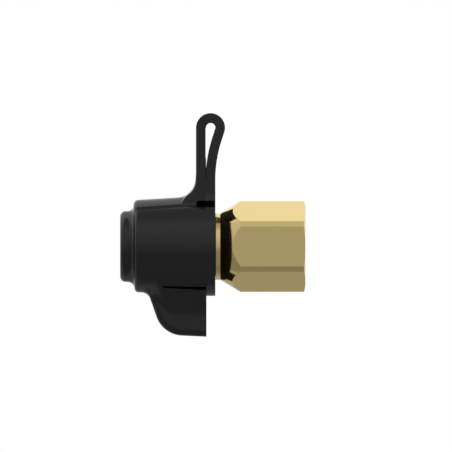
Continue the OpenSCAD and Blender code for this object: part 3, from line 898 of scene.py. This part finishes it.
def slit(x, y, z):
    """Thin wedge cut along each side of the tab's root."""
    root_y = RIM_R * (TAB_HALF + TAB_FILLET) / (RIM_R + TAB_FILLET)
    root_z = -math.sqrt(RIM_R**2 - root_y**2)
    middle = root_z - SLIT_DIP + (X_RIM - x) * math.tan(SLIT_SLOPE)
    share = 1 - (X_RIM - x) / SLIT_LEN
    wedge = np.abs(z - middle) - SLIT_TIP_HALF - (SLIT_HALF - SLIT_TIP_HALF) * share
    wedge = np.maximum(wedge, X_RIM - SLIT_LEN - x)
    floor = root_y - SLIT_DEPTH + SLIT_SLANT * (z - middle) - np.abs(y)
    return np.maximum(wedge, floor / math.hypot(1, SLIT_SLANT))


def collar_shape(x, y, z):
    """Collar in the neck's groove with the strap's bowed leg."""
    r = np.hypot(y, z)
    root = np.maximum(np.abs(y) - STRAP_HALF, np.maximum(-z, z - LEG_MEET_Z))
    face = round_or(r - COLLAR_R, root, COLLAR_FILLET)
    face = round_and(face, COLLAR_BORE_R - r, BORE_EDGE)
    ring = np.maximum(round_and(face, x - X_COLLAR, COLLAR_EDGE), X_JOIN - JOIN_LAP - x)
    strap = round_and(collar_leg(x, z), np.abs(y) - STRAP_HALF, STRAP_EDGE)
    strap = np.maximum(strap, np.maximum(CORNER_R - 1.5 - z, X_JOIN - JOIN_LAP - x))
    return round_and(np.minimum(ring, strap), -notch(x, y, z), NOTCH_EDGE)


def loop_cap_side(x, y, z):
    """Straight leg's top and the half of the loop that follows it."""
    strap = round_and(cap_leg(x, z), np.abs(y) - STRAP_HALF, STRAP_EDGE)
    return np.maximum(strap, x - LOOP_X - LOOP_LAP)


def loop_collar_side(x, y, z):
    """Bowed leg's top and the half of the loop that follows it."""
    strap = round_and(collar_leg(x, z), np.abs(y) - STRAP_HALF, STRAP_EDGE)
    return np.maximum(strap, np.where(z > LOOP_Z, LOOP_X - LOOP_LAP - x, -99.0))


def slope(shape, points):
    """Distance and its direction of growth at points, by small steps."""
    step = 0.02
    x, y, z = points.T
    value = shape(x, y, z)
    rise = np.stack(
        [
            shape(x + step, y, z) - shape(x - step, y, z),
            shape(x, y + step, z) - shape(x, y - step, z),
            shape(x, y, z + step) - shape(x, y, z - step),
        ],
        1,
    ) / (2 * step)
    return value, rise


def skin(shape, low, high):
    """Surface of a distance function inside a box: points, quads and triangles."""
    low = np.floor(np.array(low) / GRID).astype(int) - 2
    high = np.ceil(np.array(high) / GRID).astype(int) + 2
    axes = [np.arange(a, b + 1) * GRID for a, b in zip(low, high)]
    x, y, z = np.meshgrid(*axes, indexing="ij", sparse=True)
    x, y, z = np.broadcast_arrays(x, y, z)
    values = shape(x, y, z).astype(np.float32)
    grid = openvdb.FloatGrid(3 * GRID)
    grid.copyFromArray(values)
    points, triangles, quads = grid.convertToPolygons(isovalue=0.0, adaptivity=0.0)
    points = (points + low) * GRID
    for _ in range(3):
        value, rise = slope(shape, points)
        size = np.maximum((rise**2).sum(1), 0.25)
        shift = -rise * (value / size)[:, None]
        length = np.linalg.norm(shift, axis=1, keepdims=True)
        shift *= np.minimum(1, 0.5 * GRID / np.maximum(length, 1e-9))
        points = points + shift
    return points, [*quads.tolist(), *triangles.tolist()]


def rubber_piece(name, shape, low, high, keep_above, finish):
    """Piece of the moulding, cut level at CUT_Z and closed there."""
    points, faces = skin(shape, low, high)
    mesh = bpy.data.meshes.new(name)
    mesh.from_pydata(points.tolist(), [], faces)
    bm = bmesh.new()
    bm.from_mesh(mesh)
    way = (0, 0, -1 if keep_above else 1)
    everything = [*bm.verts, *bm.edges, *bm.faces]
    bmesh.ops.bisect_plane(
        bm, geom=everything, dist=1e-4, plane_co=(0, 0, CUT_Z), plane_no=way, clear_outer=True
    )
    rims = [e for e in bm.edges if e.is_boundary]
    closed = bmesh.ops.holes_fill(bm, edges=rims, sides=0)["faces"]
    bmesh.ops.recalc_face_normals(bm, faces=bm.faces)
    bm.faces.index_update()
    bm.verts.index_update()
    lids = {f.index for f in closed}
    points = np.array([v.co for v in bm.verts])
    faces = [[v.index for v in f.verts] for f in bm.faces]
    bm.free()
    bpy.data.meshes.remove(mesh)
    # Each face corner takes the surface's direction a little inside its face, so edges stay crisp
    corners = np.concatenate([np.array(f) for f in faces])
    sizes = np.array([len(f) for f in faces])
    starts = np.concatenate([[0], np.cumsum(sizes)])
    centres = np.add.reduceat(points[corners], starts[:-1]) / sizes[:, None]
    inside = points[corners] + 0.3 * (np.repeat(centres, sizes, axis=0) - points[corners])
    _, rise = slope(shape, inside)
    corner_normals = rise / np.maximum(np.linalg.norm(rise, axis=1, keepdims=True), 1e-9)
    for lid in lids:
        corner_normals[starts[lid] : starts[lid + 1]] = way
    piece = add_piece(name, build_mesh(name, points, faces, corner_normals), [finish])
    return piece


def make_moulding(finish):
    """Cap, collar and the two halves of the loop: one rubber moulding, divided where it bends."""
    margin = 0.6
    cap = rubber_piece(
        "dust_cap_moulding",
        cap_shape,
        (X_BUTTON - margin, -RIM_R - margin, -TAB_DROP - margin),
        (X_RIM + margin, RIM_R + margin, CUT_Z + margin),
        False,
        finish,
    )
    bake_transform(cap)
    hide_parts("dust_cap", "strap_cap_leg")
    collar = rubber_piece(
        "collar_moulding",
        collar_shape,
        (collar_low[0] - margin, -COLLAR_R - margin, -COLLAR_R - margin),
        (LOOP_X + LOOP_R + STRAP_T + margin, COLLAR_R + margin, CUT_Z + margin),
        False,
        finish,
    )
    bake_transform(collar)
    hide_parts("neck_collar", "strap_collar_leg")
    # The two legs share the bend evenly at the middle of the loop
    for name, shape, leg, other in (
        ("strap_loop_cap_side", loop_cap_side, "cap_leg", "collar_leg"),
        ("strap_loop_collar_side", loop_collar_side, "collar_leg", "cap_leg"),
    ):
        half = rubber_piece(
            name,
            shape,
            (X_LEG - margin, -STRAP_HALF - margin, CUT_Z - margin),
            (LOOP_X + LOOP_R + STRAP_T + margin, STRAP_HALF + margin, leg_high[2] + margin),
            True,
            finish,
        )
        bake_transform(half)


def dress(node, finish):
    """CAD node that keeps its shape: a finer finish and softly broken edges."""
    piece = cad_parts[node]
    piece.data.materials.clear()
    piece.data.materials.append(finish)
    edge = piece.modifiers.new("edges", "BEVEL")
    edge.width = 0.06 * MM
    edge.segments = 2
    edge.angle_limit = math.radians(35)
    edge.harden_normals = True


bpy.context.scene.view_settings.view_transform = "Standard"
make_camera()
make_world()
make_floor()

brass_flats = make_brass("brass_flats", (0.90, 0.71, 0.32), 0.10, (0.05, 1, 1))
brass_turned = make_brass("brass_turned", (0.90, 0.71, 0.32), 0.10, (3, 0.2, 0.2))
valve_brass = make_brass("valve_brass", (0.86, 0.67, 0.31), 0.18, (3, 0.2, 0.2))
spring_steel = make_steel("spring_steel", 0.28)
ring_steel = make_steel("ring_steel", 0.4)
rubber = make_rubber("black_rubber", (0.011, 0.011, 0.0115), (0.014, 0.014, 0.0145), 0.15)
seal_rubber = make_rubber("seal_rubber", (0.012, 0.012, 0.012), (0.018, 0.018, 0.018), 0.5)

make_body(brass_flats, brass_turned)
make_spring(spring_steel)
make_moulding(rubber)
dress("valve_stem", valve_brass)
dress("spring_plate", valve_brass)
dress("snap_ring", ring_steel)
dress("stem_seal", seal_rubber)
